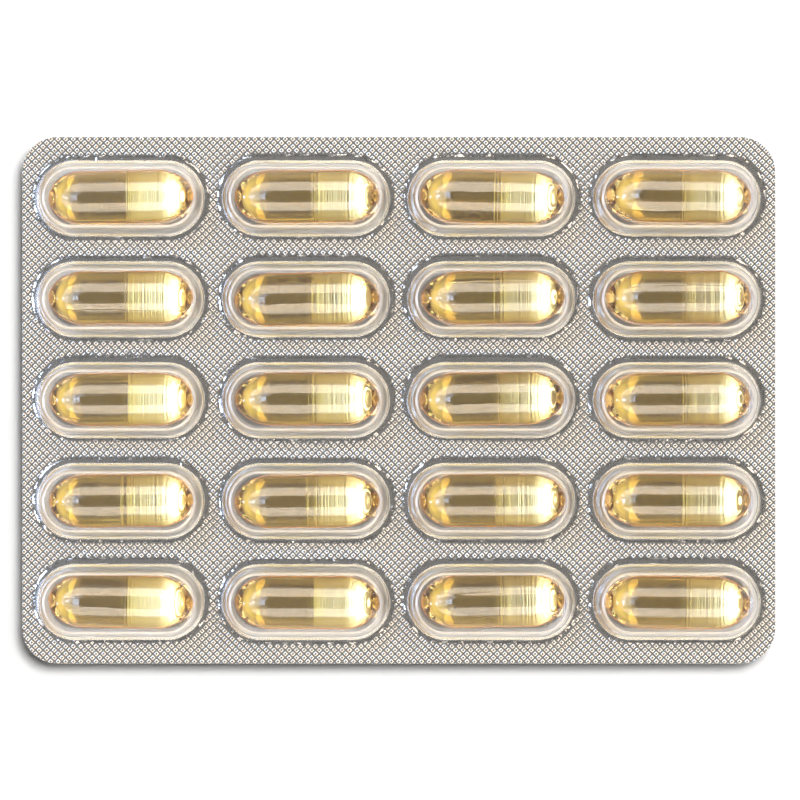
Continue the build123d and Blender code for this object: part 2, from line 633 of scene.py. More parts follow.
@dataclass(frozen=True)
class ClearFilm:
    """Rigid PVC film, thermoformed over cold plugs.

    It is clear and glossy. Its index bends the edges of what lies under it. Drawing it thin
    leaves the steep walls hazed, so they blur what they show. At the left end the walls are
    painted amber, a painted reflection of the capsule's tip. Two tiny pips from the plug lean
    towards a lamp in the left end of each crown and glint white. They are drawn 0.4 mm wide, so
    that they show.
    """

    grid: PocketGrid
    colour: str = "#FBFBFA"
    # Painted reflection: the amber of the capsule's tip, laid on the film's wall at the left end.
    painted_tip_reflection_colour: str = "#DCC6A0"
    roughness: float = 0.02
    wall_roughness: float = 0.42
    ior: float = 1.54
    pips: tuple[float, float] = (-10.4, -9.3)
    pip_radius: float = 0.2
    pip_tilt: float = 24.5

    def material(self) -> bpy.types.Material:
        """Builds the material."""
        material, tree = new_material("pvc_film_thermoformed_clear")
        place = add_node(tree, "ShaderNodeTexCoord").outputs["Object"]
        distance = self.grid.from_spine(tree, place)
        surface = add_node(tree, "ShaderNodeBsdfPrincipled", {
            "Base Color": self.colour_with_painted_light(tree, place, distance), "Roughness": self.dullness(tree, distance),
            "IOR": self.ior, "Transmission Weight": 1.0, "Coat Weight": 0.5, "Coat Roughness": 0.2,
            "Coat Normal": self.pipped_normal(tree, place),
        })
        add_node(tree, "ShaderNodeOutputMaterial", {"Surface": surface.outputs["BSDF"]})
        return material

    def dullness(self, tree: Tree, distance: Socket) -> Socket:
        """Gives the film's roughness: glossy on the crown and the flange, hazed on the walls.

        Args:
            tree: The material's node tree.
            distance: How far the place lies from the pocket's spine.

        Returns:
            The roughness.
        """
        flange = add_node(tree, "ShaderNodeMapRange", {
            "Value": distance, "From Min": 6.0 * MM, "From Max": 6.3 * MM,
            "To Min": self.wall_roughness, "To Max": self.roughness,
        })
        wall = add_node(tree, "ShaderNodeMapRange", {
            "Value": distance, "From Min": 4.6 * MM, "From Max": 4.9 * MM,
            "To Min": self.roughness, "To Max": flange.outputs["Result"],
        })
        return wall.outputs["Result"]

    def colour_with_painted_light(self, tree: Tree, place: Socket, distance: Socket) -> Socket:
        """Gives the film's colour: clear, with a painted reflection of the capsule tip's amber on the wall
        at a pocket's left end.

        Args:
            tree: The material's node tree.
            place: The object's own coordinates.
            distance: How far the place lies from the pocket's spine.

        Returns:
            The colour.
        """
        along, _ = self.grid.from_middle(tree, place)
        # Painted reflection: the wall and foot at the left end take the capsule tip's amber.
        left_end = add_node(tree, "ShaderNodeMapRange", {
            "Value": along, "From Min": -9.0 * MM, "From Max": -12.5 * MM,
        })
        off_flange = add_node(tree, "ShaderNodeMapRange", {
            "Value": distance, "From Min": 6.0 * MM, "From Max": 6.5 * MM,
            "To Min": left_end.outputs["Result"], "To Max": 0.0,
        })
        wall = add_node(tree, "ShaderNodeMapRange", {
            "Value": distance, "From Min": 4.8 * MM, "From Max": 5.3 * MM,
            "To Max": off_flange.outputs["Result"],
        })
        mixed = add_node(tree, "ShaderNodeMix", {
            0: wall.outputs["Result"], 6: linear_colour(self.colour), 7: linear_colour(self.painted_tip_reflection_colour),
        }, data_type="RGBA")
        return mixed.outputs[2]

    def pipped_normal(self, tree: Tree, place: Socket) -> Socket:
        """Leans the glossy skin to the left on two small pips in the left end of each crown.

        Args:
            tree: The material's node tree.
            place: The object's own coordinates.

        Returns:
            The skin's normal.
        """
        along, off = self.grid.from_middle(tree, place)
        marks = []
        for pip in self.pips:
            aside = add_node(tree, "ShaderNodeMath", {0: along, 1: pip * MM}, operation="SUBTRACT")
            spot = add_node(tree, "ShaderNodeCombineXYZ", {"X": aside.outputs[0], "Y": off})
            reach = add_node(tree, "ShaderNodeVectorMath", {0: spot.outputs[0]}, operation="LENGTH")
            marks.append(add_node(tree, "ShaderNodeMath", {
                0: reach.outputs["Value"], 1: self.pip_radius * MM,
            }, operation="LESS_THAN").outputs[0])
        on_pip = add_node(tree, "ShaderNodeMath", {0: marks[0], 1: marks[1]}, operation="MAXIMUM")
        lean = math.radians(self.pip_tilt)
        leaning = add_node(tree, "ShaderNodeVectorTransform", {
            "Vector": (-math.sin(lean), 0.0, math.cos(lean)),
        }, vector_type="NORMAL", convert_from="OBJECT", convert_to="WORLD")
        plain = add_node(tree, "ShaderNodeNewGeometry")
        mixed = add_node(tree, "ShaderNodeMix", {
            0: on_pip.outputs[0], 4: plain.outputs["Normal"], 5: leaning.outputs["Vector"],
        }, data_type="VECTOR")
        return mixed.outputs[1]


@dataclass(frozen=True)
class SoftGelatin:
    """A soft gelatin shell full of golden oil, sealed between two rollers and polished.

    Shell and oil have nearly one index, so the capsule is one clear lens. Its colour carries
    painted light, set by how far each place turns from the eye and where it lies along the
    capsule: a painted glow near white over the top's right half and at both ends, for the light
    that runs a short way inside, painted golden shade along its sides, and a painted orange line,
    half of it matte orange shell, at the silhouette and the tips, for the light that runs along
    inside the shell. The polish on top mirrors the lamps as long pale bands, and the tumbling
    that gave it left fine lines round the right half. The real lines are a few hundredths of a
    millimetre wide. They are drawn about ten times as wide, so that they show.
    """

    grid: PocketGrid
    oil_colour: str = "#FBE22C"
    density: float = 40.0
    shell_tint: str = "#FFF5B0"
    # Painted shade: the darker golden tint the flanks get as they turn from the eye.
    painted_flank_shade_tint: str = "#DAC582"
    # Painted glow near white over the top's right half and at both ends, for light passing through them.
    painted_end_glow_tint: str = "#FFFEF2"
    # Painted orange glow at the silhouette and the tips, for the light that runs along inside the shell.
    painted_rim_glow_tint: str = "#E08A1A"
    roughness: float = 0.02
    ior: float = 1.53
    # The shell's own faint matte cloud everywhere; at the rim its share rises as part of the painted orange
    # glow.
    shell_cloud_and_rim_glow_colour: str = "#EB9C2C"
    shell_share: float = 0.015
    painted_rim_glow_share: float = 0.5
    skin_width: float = 2.5
    skin_depth: float = 0.002
    polish_width: float = 0.24
    polish_depth: float = 0.07
    polish_reach: float = 4.0

    def material(self) -> bpy.types.Material:
        """Builds the material."""
        material, tree = new_material("gelatin_shell_oil_filled")
        place = add_node(tree, "ShaderNodeTexCoord").outputs["Object"]
        along, off = self.grid.from_middle(tree, place)
        turned = add_node(tree, "ShaderNodeLayerWeight", {"Blend": 0.5}).outputs["Facing"]
        skin = add_node(tree, "ShaderNodeTexNoise", {
            "Vector": place, "Scale": 1 / (self.skin_width * MM), "Detail": 2.0,
        })
        skin_bump = add_node(tree, "ShaderNodeBump", {
            "Height": skin.outputs["Fac"], "Distance": self.skin_depth * MM, "Strength": 1.0,
        })
        polish_bump = add_node(tree, "ShaderNodeBump", {
            "Height": drawn_lines(tree, place, self.polish_width, 30.0), "Distance": self.polish_depth * MM,
            "Strength": self.grid.right_half(tree, place, self.polish_reach),
            "Normal": skin_bump.outputs["Normal"],
        })
        # The rim mask places the painted orange glow at the silhouette and the tips.
        rim = self.rim(tree, along, turned)
        clear = add_node(tree, "ShaderNodeBsdfPrincipled", {
            "Base Color": self.colour_with_painted_light(tree, along, turned, rim), "Roughness": self.roughness, "IOR": self.ior,
            "Transmission Weight": 1.0, "Normal": skin_bump.outputs["Normal"],
            "Coat Weight": self.polish(tree, along, off, turned), "Coat Roughness": 0.06, "Coat IOR": 1.65,
            "Coat Normal": polish_bump.outputs["Normal"],
        })
        cloud = add_node(tree, "ShaderNodeBsdfDiffuse", {"Color": linear_colour(self.shell_cloud_and_rim_glow_colour)})
        # Matte orange shell: a faint share everywhere, raised at the rim as painted glow.
        cloud_and_rim_glow = add_node(tree, "ShaderNodeMapRange", {
            "Value": rim, "To Min": self.shell_share, "To Max": self.painted_rim_glow_share,
        })
        surface = add_node(tree, "ShaderNodeMixShader", {
            0: cloud_and_rim_glow.outputs["Result"], 1: clear.outputs["BSDF"], 2: cloud.outputs["BSDF"],
        })
        oil = add_node(tree, "ShaderNodeVolumeAbsorption", {
            "Color": linear_colour(self.oil_colour), "Density": self.density,
        })
        add_node(tree, "ShaderNodeOutputMaterial", {
            "Surface": surface.outputs["Shader"], "Volume": oil.outputs["Volume"],
        })
        return material

    def polish(self, tree: Tree, along: Socket, off: Socket, turned: Socket) -> Socket:
        """Marks where the shell is polished: along its top, but not at the left tip.

        Args:
            tree: The material's node tree.
            along: The distance from the pocket's middle along the capsule.
            off: The distance off the capsule's long axis.
            turned: How far the surface turns away from the eye.

        Returns:
            The weight of the polish.
        """
        body = add_node(tree, "ShaderNodeMapRange", {
            "Value": along, "From Min": -8.2 * MM, "From Max": -6.8 * MM,
        }, interpolation_type="SMOOTHSTEP")
        sides = add_node(tree, "ShaderNodeMapRange", {
            "Value": off, "From Min": 0.8 * MM, "From Max": 1.1 * MM,
        }, interpolation_type="SMOOTHSTEP")
        either = add_node(tree, "ShaderNodeMath", {
            0: body.outputs[0], 1: sides.outputs[0],
        }, operation="MAXIMUM")
        top = add_node(tree, "ShaderNodeMapRange", {
            "Value": turned, "From Min": 0.15, "From Max": 0.20,
            "To Min": either.outputs[0], "To Max": 0.15,
        })
        polished = add_node(tree, "ShaderNodeMapRange", {
            "Value": along, "From Min": -11.2 * MM, "From Max": -10.2 * MM, "To Max": top.outputs["Result"],
        }, interpolation_type="SMOOTHSTEP")
        return polished.outputs["Result"]

    def rim(self, tree: Tree, along: Socket, turned: Socket) -> Socket:
        """Marks the silhouette and, more faintly, the two tips, where the orange glow is painted.

        Args:
            tree: The material's node tree.
            along: The distance from the pocket's middle along the capsule.
            turned: How far the surface turns away from the eye.

        Returns:
            1 on the rim and 0 off it.
        """
        edge = add_node(tree, "ShaderNodeMapRange", {
            "Value": turned, "From Min": 0.58, "From Max": 0.85,
        }, interpolation_type="SMOOTHSTEP")
        from_middle = add_node(tree, "ShaderNodeMath", {0: along}, operation="ABSOLUTE")
        tip_level = add_node(tree, "ShaderNodeMapRange", {
            "Value": along, "From Min": -1.0 * MM, "From Max": 1.0 * MM, "To Min": 0.4, "To Max": 0.15,
        })
        tip = add_node(tree, "ShaderNodeMapRange", {
            "Value": from_middle.outputs[0], "From Min": 10.8 * MM, "From Max": 11.9 * MM,
            "To Max": tip_level.outputs["Result"],
        }, interpolation_type="SMOOTHSTEP")
        rim = add_node(tree, "ShaderNodeMath", {0: edge.outputs[0], 1: tip.outputs[0]}, operation="MAXIMUM")
        return rim.outputs[0]

    def colour_with_painted_light(self, tree: Tree, along: Socket, turned: Socket, rim: Socket) -> Socket:
        """Gives the shell's colour with painted light: pale on top, a painted glow near white over the
        top's right half and at the ends, painted golden shade on the flanks, a painted orange glow at the
        rim.

        Args:
            tree: The material's node tree.
            along: The distance from the pocket's middle along the capsule.
            turned: How far the surface turns away from the eye.
            rim: 1 on the rim.

        Returns:
            The colour.
        """
        # Painted glow: the top turns near white over the right half.
        right = add_node(tree, "ShaderNodeMapRange", {
            "Value": along, "From Min": 0.0, "From Max": 4.0 * MM,
        }, interpolation_type="SMOOTHSTEP")
        top = add_node(tree, "ShaderNodeMix", {
            0: right.outputs[0], 6: linear_colour(self.shell_tint), 7: linear_colour(self.painted_end_glow_tint),
        }, data_type="RGBA")
        from_middle = add_node(tree, "ShaderNodeMath", {0: along}, operation="ABSOLUTE")
        end = add_node(tree, "ShaderNodeMapRange", {
            "Value": from_middle.outputs[0], "From Min": 6.5 * MM, "From Max": 9.5 * MM,
        }, interpolation_type="SMOOTHSTEP")
        # Painted shade golden on the flanks, turning to painted glow near white towards both ends.
        flank = add_node(tree, "ShaderNodeMix", {
            0: end.outputs[0], 6: linear_colour(self.painted_flank_shade_tint), 7: linear_colour(self.painted_end_glow_tint),
        }, data_type="RGBA")
        aside = add_node(tree, "ShaderNodeMapRange", {"Value": turned, "From Min": 0.12, "From Max": 0.19})
        shell = add_node(tree, "ShaderNodeMix", {
            0: aside.outputs[0], 6: top.outputs[2], 7: flank.outputs[2],
        }, data_type="RGBA")
        # Painted orange glow at the rim.
        mixed = add_node(tree, "ShaderNodeMix", {
            0: rim, 6: shell.outputs[2], 7: linear_colour(self.painted_rim_glow_tint),
        }, data_type="RGBA")
        return mixed.outputs[2]


@dataclass(frozen=True)
class MattePaper:
    """White card stock under the pack, matte and without grain."""

    colour: str = "#FEFEFE"

    def material(self) -> bpy.types.Material:
        """Builds the material."""
        material, tree = new_material("paper_white_matte")
        surface = add_node(tree, "ShaderNodeBsdfDiffuse", {"Color": linear_colour(self.colour)})
        add_node(tree, "ShaderNodeOutputMaterial", {"Surface": surface.outputs["BSDF"]})
        return material


@dataclass
class LiddingFoil:
    """The foil, embossed with small pyramids wherever it is sealed to the film."""

    layout: PocketLayout
    sheet: float = 0.03
    cell_pitch: float = 0.91
    groove_width: float = 0.30
    tip_width: float = 0.34
    emboss: float = 0.0325
    recess: Slot = Slot(7.8, 7.2)
    fade: float = 0.25
    outline_step: float = 0.6
    crinkle: float = 0.085
    # The rings of points in a recess: how far each lies inside its edge, and its points' spacing.
    rings: tuple[tuple[float, float], ...] = (
        (0.0, 0.5), (0.35, 0.5), (0.75, 0.55), (1.2, 0.7), (1.8, 1.0),
        (2.8, 1.2), (3.9, 1.3), (5.2, 1.5), (6.6, 1.5),
    )

    def recess_distance(self, x: np.ndarray, y: np.ndarray) -> np.ndarray:
        """How far points lie outside the nearest unsealed recess; negative inside one."""
        nearest = np.full(np.shape(x), 1e9)
        for (row, column), (cx, cy) in self.layout.centres.items():
            sx, sy = self.recess_shift(row, column)
            nearest = np.minimum(nearest, self.recess.distance(x - cx - sx, y - cy - sy))
        return nearest

    def recess_shift(self, row: int, column: int) -> tuple[float, float]:
        """How far the plate's recess sits off its pocket, which differs a little from one to the next."""
        draw = random.Random(100 * row + column)
        return draw.uniform(-0.15, 0.15), draw.uniform(0.05, 0.45)

    def lattice(self) -> tuple[list[tuple[float, float]], list[tuple[int, int]]]:
        """Lays out the pyramids' corners over the card.

        Returns:
            The points, and the edges that the triangles have to keep.
        """
        points: list[tuple[float, float]] = []
        edges: list[tuple[int, int]] = []
        index: dict[tuple[int, ...], int] = {}
        p, g, q = self.cell_pitch, self.groove_width / 2, self.tip_width / 2
        half = math.sqrt(0.5)

        def corner(key: tuple[int, ...], u: float, v: float) -> int:
            """Numbers a corner, once."""
            if key not in index:
                index[key] = len(points)
                points.append(((u - v) * half, (u + v) * half))
            return index[key]

        reach = int((self.layout.outline.half_length + self.layout.outline.half_width) * half / p) + 2
        squares = [(i, j) for i in range(-reach, reach) for j in range(-reach, reach)]
        middles = np.array([((i - j) * p * half, (i + j + 1) * p * half) for i, j in squares])
        on_card = self.layout.outline.distance(middles[:, 0], middles[:, 1]) < p * half
        sealed = self.recess_distance(middles[:, 0], middles[:, 1]) > -p * half
        for (i, j), keep in zip(squares, on_card & sealed):
            if not keep:
                continue
            ring = []
            for a, b in ((0, 0), (1, 0), (1, 1), (0, 1)):
                in_u, in_v = 1 - 2 * a, 1 - 2 * b
                key = (0, i + a, j + b, in_u, in_v)
                ring.append(corner(key, (i + a) * p + in_u * g, (j + b) * p + in_v * g))
            tip = [
                corner((1, i, j, a, b), (i + 0.5) * p + a * q, (j + 0.5) * p + b * q)
                for a, b in ((-1, -1), (1, -1), (1, 1), (-1, 1))
            ]
            for k in range(4):
                after = (k + 1) % 4
                edges += [(ring[k], ring[after]), (tip[k], tip[after]), (ring[k], tip[k])]
        return points, edges

    def smooth_points(self) -> Iterator[np.ndarray]:
        """Lays rings of points in each recess, close together at its edge and wider under the capsule."""
        for (row, column), (cx, cy) in self.layout.centres.items():
            sx, sy = self.recess_shift(row, column)
            for inset, step in self.rings:
                ring = Slot(self.recess.half_straight, self.recess.radius - inset)
                arc_steps = max(4, round(math.pi * ring.radius / step))
                walk = ring.spine(round(2 * ring.half_straight / step), arc_steps)
                x = cx + sx + walk[:, 0] + ring.radius * walk[:, 1]
                y = cy + sy + ring.radius * walk[:, 2]
                yield np.column_stack([x, y])

    def height(self, x: np.ndarray, y: np.ndarray) -> np.ndarray:
        """The height of the foil's upper side.

        Args:
            x: Places along the card.
            y: Places across the card.

        Returns:
            The heights above the foil's lowest points, in millimetres.
        """
        half = math.sqrt(0.5)
        u, v = (x + y) * half, (y - x) * half
        p = self.cell_pitch
        du = np.abs(u - p * np.round(u / p))
        dv = np.abs(v - p * np.round(v / p))
        slope = (p - self.groove_width - self.tip_width) / 2
        rise = np.clip((np.minimum(du, dv) - self.groove_width / 2) / slope, 0.0, 1.0)
        out = self.recess_distance(x, y)
        flat = np.column_stack([x, y, np.zeros_like(x)])
        uneven = 1.0 + 0.12 * noise_at(flat, 1.1, 3)
        embossed = self.emboss * rise * uneven * smooth_step(out, 0.0, self.fade)
        margin = smooth_step(-out, 0.0, 0.3) * (1.0 - smooth_step(-out, 1.3, 2.4))
        folds = 0.5 + 0.5 * noise_at(flat, 1.3, 5)
        return self.sheet + embossed + self.crinkle * margin * folds

    def build(self) -> bpy.types.Object:
        """Builds the foil as one closed sheet, its underside flat."""
        points, edges = self.lattice()
        for ring in (self.layout.outline.loop(self.outline_step), *self.smooth_points()):
            base = len(points)
            points += [tuple(p) for p in ring]
            edges += [(base + k, base + (k + 1) % len(ring)) for k in range(len(ring))]
        result = delaunay_2d_cdt([Vector(p) for p in points], edges, [], 0, 1e-5, False)
        flat = np.array([tuple(p) for p in result[0]])
        triangles = np.array([tuple(f) for f in result[2]])
        middle = flat[triangles].mean(axis=1)
        triangles = triangles[self.layout.outline.distance(middle[:, 0], middle[:, 1]) < -1e-4]
        used, triangles = np.unique(triangles, return_inverse=True)
        triangles = triangles.reshape(-1, 3)
        flat = flat[used]
        top = np.column_stack([flat, self.height(flat[:, 0], flat[:, 1])])
        return self.close_sheet(top, triangles)

    def close_sheet(self, top: np.ndarray, triangles: np.ndarray) -> bpy.types.Object:
        """Gives the upper side edges and an underside, which is one flat face.

        Args:
            top: The upper side's points.
            triangles: Its triangles.

        Returns:
            The closed foil. Its last face is the underside, with the second material.
        """
        clockwise = flat_area(top, triangles) < 0
        triangles[clockwise] = triangles[clockwise][:, ::-1]
        borders = dict.fromkeys((f[k], f[(k + 1) % 3]) for f in triangles.tolist() for k in range(3))
        following = {i: j for i, j in borders if (j, i) not in borders}
        rim = [next(iter(following))]
        while following[rim[-1]] != rim[0]:
            rim.append(following[rim[-1]])
        count, around = len(top), len(rim)
        under = top[rim] * (1.0, 1.0, 0.0)
        faces = [tuple(f) for f in triangles.tolist()]
        for k in range(around):
            after = (k + 1) % around
            faces.append((rim[k], count + k, count + after, rim[after]))
        faces.append(tuple(count + k for k in reversed(range(around))))
        foil = make_piece("lidding_foil_embossed", np.vstack([top, under]), faces, 9.0)
        foil.data.polygons[len(faces) - 1].material_index = 1
        return foil


@dataclass
class FormingFilm:
    """The clear film, a flat flange with twenty drafted pockets drawn up out of it."""

    layout: PocketLayout
    top: float
    underside: float = 0.12
    flange_top: float = 0.28
    seal_height: float = 0.03
    wall: float = 0.2
    draft: float = 3.5
    crown_radius: float = 0.8
    foot_radius: float = 0.5
    rim_radius: float = 7.25
    wall_stray: float = 0.11
    foot_stray: float = 0.09
    crown_stray: float = 0.04
    crown_sag: float = 0.045
    outline_step: float = 1.5
    straight_steps: int = 28
    arc_steps: int = 36

    def profile(
        self, radius: float, plane: float, crown: float, foot_radius: float, crown_radius: float,
    ) -> np.ndarray:
        """The section of a pocket's wall, from the flange in to the middle of the crown.

        Args:
            radius: Half the pocket's width where its wall would meet the seal.
            plane: The height of the flange.
            crown: The height of the crown.
            foot_radius: The radius where the flange turns up into the wall.
            crown_radius: The radius where the wall turns into the crown.

        Returns:
            Distances from the long axis and heights, one pair to a row.
        """
        lean = math.radians(self.draft)
        line = radius * math.cos(lean) + self.seal_height * math.sin(lean)
        foot_z = plane + foot_radius
        foot_x = (line + foot_radius - foot_z * math.sin(lean)) / math.cos(lean)
        crown_z = crown - crown_radius
        crown_x = (line - crown_radius - crown_z * math.sin(lean)) / math.cos(lean)
        rows = [(self.rim_radius, plane), ((self.rim_radius + foot_x) / 2, plane)]
        for t in np.linspace(-math.pi / 2, -math.pi + lean, 4):
            rows.append((foot_x + foot_radius * math.cos(t), foot_z + foot_radius * math.sin(t)))
        low = rows[-1]
        high = (crown_x + crown_radius * math.cos(lean), crown_z + crown_radius * math.sin(lean))
        rows += [(low[0] + (high[0] - low[0]) * k / 3, low[1] + (high[1] - low[1]) * k / 3) for k in (1, 2)]
        for t in np.linspace(lean, math.pi / 2, 7):
            rows.append((crown_x + crown_radius * math.cos(t), crown_z + crown_radius * math.sin(t)))
        rows += [(crown_x * 0.5, crown), (0.12, crown)]
        return np.array(rows)

    def ripple(self, place: np.ndarray, outer: np.ndarray, number: int) -> np.ndarray:
        """How far the drawn film strays from its ideal form.

        Args:
            place: Each ring's points on the outer side, by ring and step.
            outer: The outer section.
            number: The pocket's number, which picks its own ripples.

        Returns:
            Moves along X, Y and Z for each point.
        """
        rings, steps, _ = place.shape
        flat = place.reshape(-1, 3)
        slow = noise_at(flat, 6.0, number).reshape(rings, steps)
        quick = noise_at(flat, 1.4, number + 50).reshape(rings, steps)
        height = outer[:, 1][:, None]
        off_rim = smooth_step(self.rim_radius - outer[:, 0], 0.0, 0.5)[:, None]
        foot = (1.0 - smooth_step(height, 0.3, 1.6)) * off_rim
        crown = smooth_step(height, 8.0, 9.5)
        wall = smooth_step(height, 0.6, 3.0) * (1.0 - smooth_step(height, 6.5, 9.4))
        move = np.zeros_like(place)
        move[:, :, 0] = 0.5 * self.wall_stray * slow * wall
        move[:, :, 1] = self.wall_stray * slow * wall
        move[:, :, 2] = self.foot_stray * (0.4 + 0.6 * quick) * foot
        move[:, :, 2] += self.crown_stray * slow * crown - self.crown_sag * crown
        return move

    def pocket(self, centre: tuple[float, float], number: int) -> tuple[np.ndarray, np.ndarray]:
        """The two sides of one pocket.

        Args:
            centre: The pocket's middle.
            number: The pocket's number.

        Returns:
            The outer and the inner side's points, by ring and step.
        """
        foot = self.layout.foot
        walk = foot.spine(self.straight_steps, self.arc_steps)
        outer = self.profile(foot.radius, self.flange_top, self.top, self.foot_radius, self.crown_radius)
        inner = self.profile(
            foot.radius - self.wall, self.underside, self.top - self.wall,
            self.foot_radius, self.crown_radius - self.wall,
        )
        sides = []
        for section in (outer, inner):
            rings = np.zeros((len(section), len(walk), 3))
            rings[:, :, 0] = centre[0] + walk[None, :, 0] + section[:, 0][:, None] * walk[None, :, 1]
            rings[:, :, 1] = centre[1] + section[:, 0][:, None] * walk[None, :, 2]
            rings[:, :, 2] = section[:, 1][:, None]
            sides.append(rings)
        move = self.ripple(sides[0], outer, number)
        return sides[0] + move, sides[1] + move

    def crown_faces(self, base: int) -> list[tuple[int, ...]]:
        """Closes the slit that is left along the middle of a crown.

        Args:
            base: The number of the innermost ring's first point.

        Returns:
            Faces across the slit, seen from above.
        """
        steps = 2 * (self.straight_steps + self.arc_steps)
        middle = self.arc_steps // 2
        upper = [base + (middle + k) % steps for k in range(steps // 2 + 1)]
        lower = [base + (middle - k) % steps for k in range(steps // 2 + 1)]
        faces: list[tuple[int, ...]] = []
        for k in range(len(upper) - 1):
            quad = [upper[k], upper[k + 1], lower[k + 1], lower[k]]
            faces.append(tuple(dict.fromkeys(quad)))
        return faces

    def wall_faces(self, base: int, rings: int, steps: int) -> list[tuple[int, ...]]:
        """Joins the rings of one side of a pocket and closes its crown.

        Args:
            base: The number of its first point.
            rings: How many rings it has.
            steps: How many points each ring has.

        Returns:
            The faces, seen from above.
        """
        faces: list[tuple[int, ...]] = []
        for r in range(rings - 1):
            for s in range(steps):
                a, b = base + r * steps + s, base + r * steps + (s + 1) % steps
                faces.append((a, b, b + steps, a + steps))
        return faces + self.crown_faces(base + (rings - 1) * steps)

    def flange_faces(
        self, cloud: np.ndarray, rims: list[int], outline: np.ndarray, facing_up: bool,
    ) -> list[tuple[int, ...]]:
        """Fills one side of the flange, between the pockets' rims and the card's outline.

        Args:
            cloud: The points made so far, which the outline's points follow.
            rims: The numbers of the rims' points, one rim after the other.
            outline: The card's outline.
            facing_up: True for the upper side.

        Returns:
            The faces.
        """
        steps = 2 * (self.straight_steps + self.arc_steps)
        inner, outer = len(rims), len(outline)
        flat = [Vector(p) for p in np.vstack([cloud[rims][:, :2], outline])]
        edges = [(k, k + 1 if (k + 1) % steps else k + 1 - steps) for k in range(inner)]
        edges += [(inner + k, inner + (k + 1) % outer) for k in range(outer)]
        spots, _, faces, sources, _, _ = delaunay_2d_cdt(flat, edges, [], 0, 1e-5, True)
        spot = np.array([tuple(p) for p in spots])
        triangles = np.array([tuple(f) for f in faces])
        middle = spot[triangles].mean(axis=1)
        rim = Slot(self.layout.foot.half_straight, self.rim_radius)
        off = np.full(len(middle), 1e9)
        for x, y in self.layout.centres.values():
            off = np.minimum(off, rim.distance(middle[:, 0] - x, middle[:, 1] - y))
        triangles = triangles[off > -0.02]
        numbers = np.array(rims + [len(cloud) + k for k in range(outer)])
        order = numbers[[ids[0] for ids in sources]]
        right_way = (flat_area(spot, triangles) > 0) == facing_up
        made = order[triangles].tolist()
        return [tuple(f) if good else tuple(f[::-1]) for f, good in zip(made, right_way)]

    def build(self) -> bpy.types.Object:
        """Builds the film as one closed sheet."""
        points: list[np.ndarray] = []
        faces: list[tuple[int, ...]] = []
        rims: tuple[list[int], list[int]] = ([], [])
        count = 0
        for number, centre in enumerate(self.layout.centres.values()):
            for side, rings in enumerate(self.pocket(centre, number)):
                ring_count, steps, _ = rings.shape
                walls = self.wall_faces(count, ring_count, steps)
                faces += walls if side == 0 else [f[::-1] for f in walls]
                rims[side].extend(range(count, count + steps))
                points.append(rings.reshape(-1, 3))
                count += ring_count * steps
        cloud = np.vstack(points)
        outline = self.layout.outline.loop(self.outline_step)
        borders = []
        for rim, level in zip(rims, (self.flange_top, self.underside)):
            faces += self.flange_faces(cloud, rim, outline, facing_up=level == self.flange_top)
            borders.append(len(cloud))
            cloud = np.vstack([cloud, np.column_stack([outline, np.full(len(outline), level)])])
        above, below = borders
        for k in range(len(outline)):
            after = (k + 1) % len(outline)
            faces.append((above + after, above + k, below + k, below + after))
        return make_piece("forming_film_drawn", cloud, faces, 50.0)


